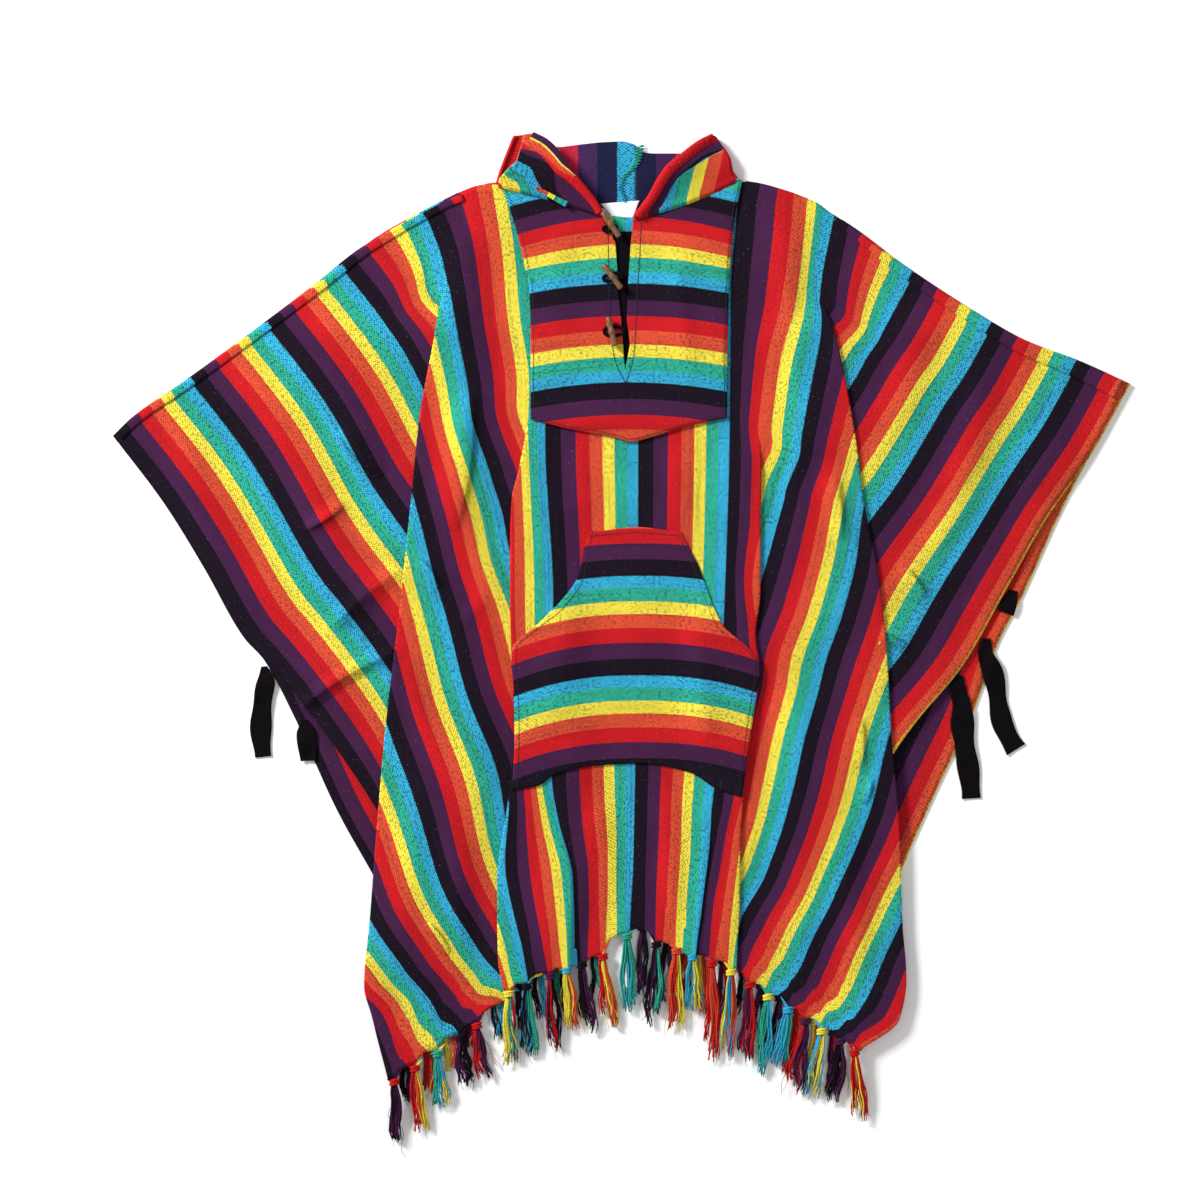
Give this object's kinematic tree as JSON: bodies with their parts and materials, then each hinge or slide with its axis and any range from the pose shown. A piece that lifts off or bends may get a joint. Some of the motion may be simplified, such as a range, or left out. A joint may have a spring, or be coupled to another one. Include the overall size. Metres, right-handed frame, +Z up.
{
  "type": "hooded poncho",
  "caption": "Striped cotton poncho laid flat, with a hood, chest yoke, pocket, toggles, tape ties and knotted fringe.",
  "frame": {"origin": "on the floor under the middle of the laid-out garment", "axes": "+Z up from the floor through the layers, +Y towards the hood, +X towards the right of the laid-out garment"},
  "size_m": [1.271, 1.2694, 0.0221],
  "materials": {
    "striped_cotton": "heavy woven cotton, seven stripe colours",
    "black_cotton": "black cotton tape and loops",
    "bamboo": "brown bamboo toggles",
    "white_label": "plain white woven label",
    "fringe_yarn": "knotted warp ends in the stripe colours"
  },
  "bodies": {
    "root": {"back_panel": "striped_cotton", "front_panel": "striped_cotton", "shoulder_band_left": "striped_cotton", "shoulder_band_right": "striped_cotton", "slit_underlap": "black_cotton", "yoke": "striped_cotton", "pocket": "striped_cotton", "hood_left": "striped_cotton", "hood_right": "striped_cotton", "neck_label": "white_label", "tie_left_long": "black_cotton", "tie_left_short": "black_cotton", "tie_right_tab": "black_cotton", "tie_right_long": "black_cotton", "tie_right_slant": "black_cotton", "toggle_1": "bamboo", "toggle_loop_1": "black_cotton", "toggle_2": "bamboo", "toggle_loop_2": "black_cotton", "toggle_3": "bamboo", "toggle_loop_3": "black_cotton", "fringe_front_left": "fringe_yarn", "fringe_front_middle": "fringe_yarn", "fringe_front_right": "fringe_yarn", "fringe_back_left": "fringe_yarn", "fringe_back_middle": "fringe_yarn", "fringe_back_right": "fringe_yarn"}
  },
  "joints": []
}
